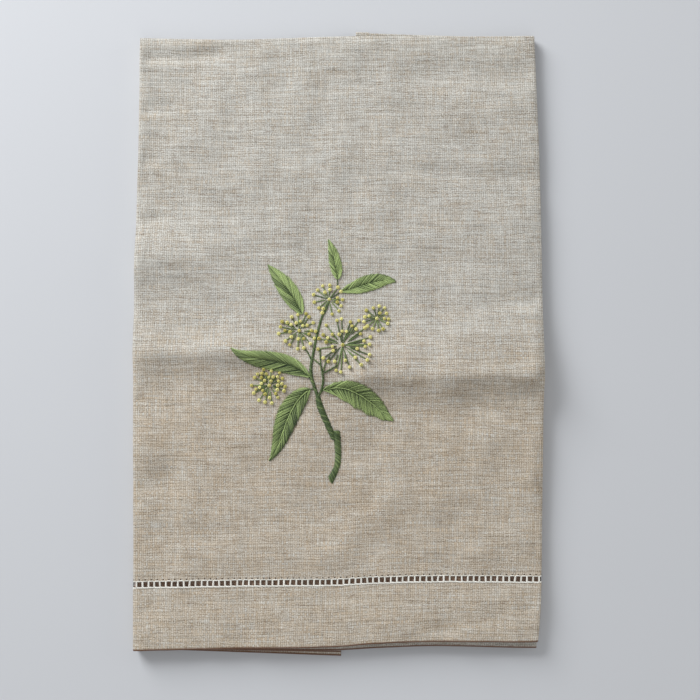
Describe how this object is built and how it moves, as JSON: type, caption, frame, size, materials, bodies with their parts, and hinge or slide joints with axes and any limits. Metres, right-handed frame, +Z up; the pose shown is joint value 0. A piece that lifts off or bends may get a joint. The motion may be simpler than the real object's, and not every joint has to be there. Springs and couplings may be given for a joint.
{
  "type": "hand towel",
  "caption": "Linen hand towel with hemstitched ends and an embroidered sprig, folded in half and with both sides behind, lying face up.",
  "frame": {"origin": "under the middle of the folded towel, on the surface that it lies on", "axes": "+Z up out of the face, +Y towards the folded top edge, away from the hems, +X to the right of someone looking down at the face"},
  "size_m": [0.1812, 0.277, 0.0071],
  "materials": {
    "linen": "natural unbleached linen in plain weave with slubs, matt",
    "white_thread": "white cotton sewing thread of the hemstitch, soft sheen",
    "green_floss": "green embroidery floss in light and dark tones, satin sheen",
    "yellow_floss": "pale yellow-green embroidery floss, satin sheen"
  },
  "bodies": {
    "root": {"towel_cloth": "linen"}
  },
  "joints": []
}
